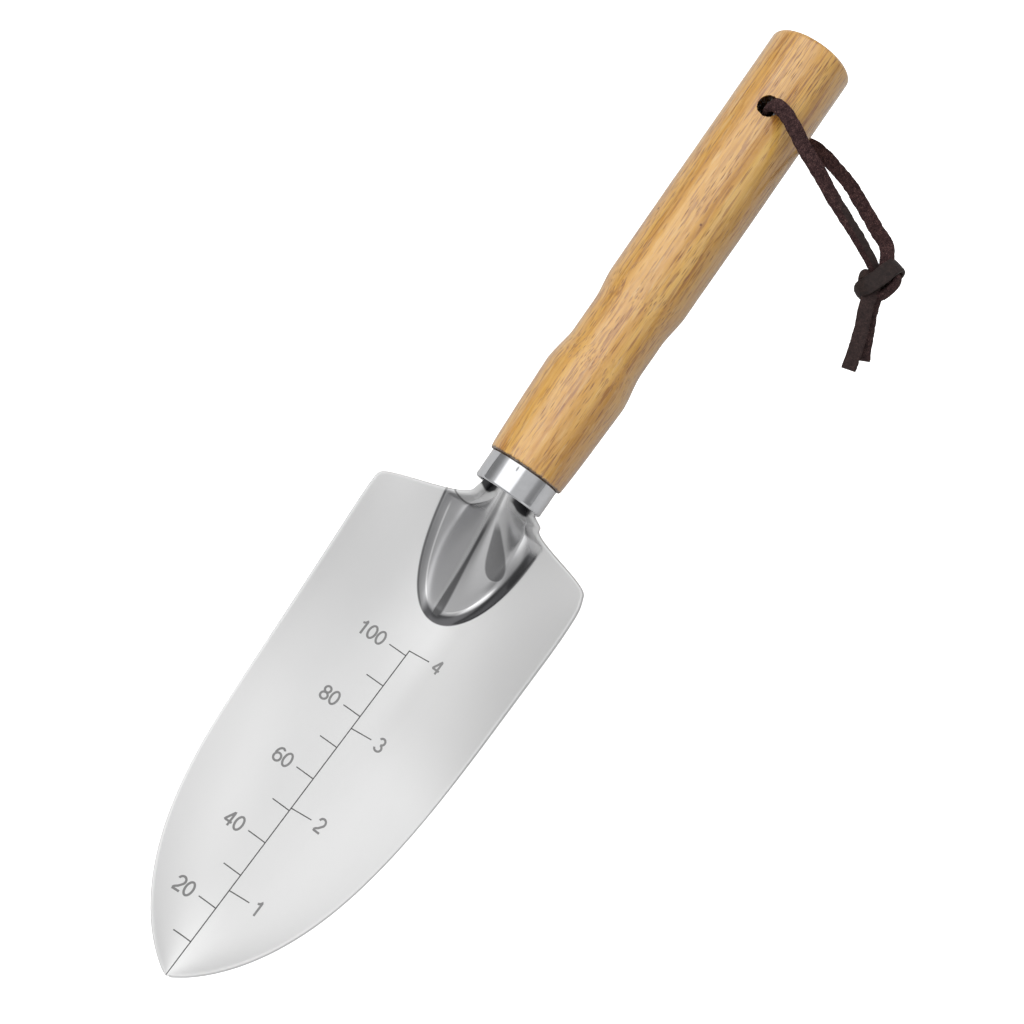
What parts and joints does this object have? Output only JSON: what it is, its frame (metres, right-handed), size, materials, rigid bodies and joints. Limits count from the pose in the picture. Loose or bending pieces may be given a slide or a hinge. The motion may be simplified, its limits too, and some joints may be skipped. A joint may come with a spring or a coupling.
{
  "type": "hand trowel",
  "caption": "Hand trowel: a stamped, dished steel blade with a cranked ribbed neck and depth scale, a short ferrule, a turned wooden handle and a leather hanging thong.",
  "frame": {"origin": "centre of the flat butt face of the handle", "axes": "+X along the handle axis towards the blade tip, +Z towards the hollow upper side of the blade, +Y to the side the thong hangs on at rest"},
  "size_m": [0.2884, 0.0905, 0.029],
  "materials": {
    "blade_steel": "satin polished stainless sheet, mirror bright inside the pressed neck",
    "ferrule_plated_steel": "bright plated",
    "handle_wood": "clear lacquered golden hardwood",
    "cured_adhesive": "cured resin",
    "thong_leather": "dark brown suede lace"
  },
  "bodies": {
    "trowel": {"blade": "blade_steel", "ferrule": "ferrule_plated_steel", "handle": "handle_wood", "tang_adhesive": "cured_adhesive"},
    "thong": {"thong_loop": "thong_leather", "thong_knot": "thong_leather"},
    "long_tail": {"thong_long_tail": "thong_leather"},
    "short_tail": {"thong_short_tail": "thong_leather"}
  },
  "joints": [
    {"name": "thong_swing", "type": "hinge", "parent": "trowel", "child": "thong", "pos_m": [0.02155, 0, 0], "axis": [0, 0, 1], "range_deg": [-30, 240]},
    {"name": "long_tail_flex", "type": "hinge", "parent": "thong", "child": "long_tail", "pos_m": [0.0465, 0.0495, 0.00115], "axis": [0, 0, 1], "range_deg": [-20, 20]},
    {"name": "short_tail_flex", "type": "hinge", "parent": "thong", "child": "short_tail", "pos_m": [0.0465, 0.0505, -0.00115], "axis": [0, 0, 1], "range_deg": [-20, 20]}
  ]
}
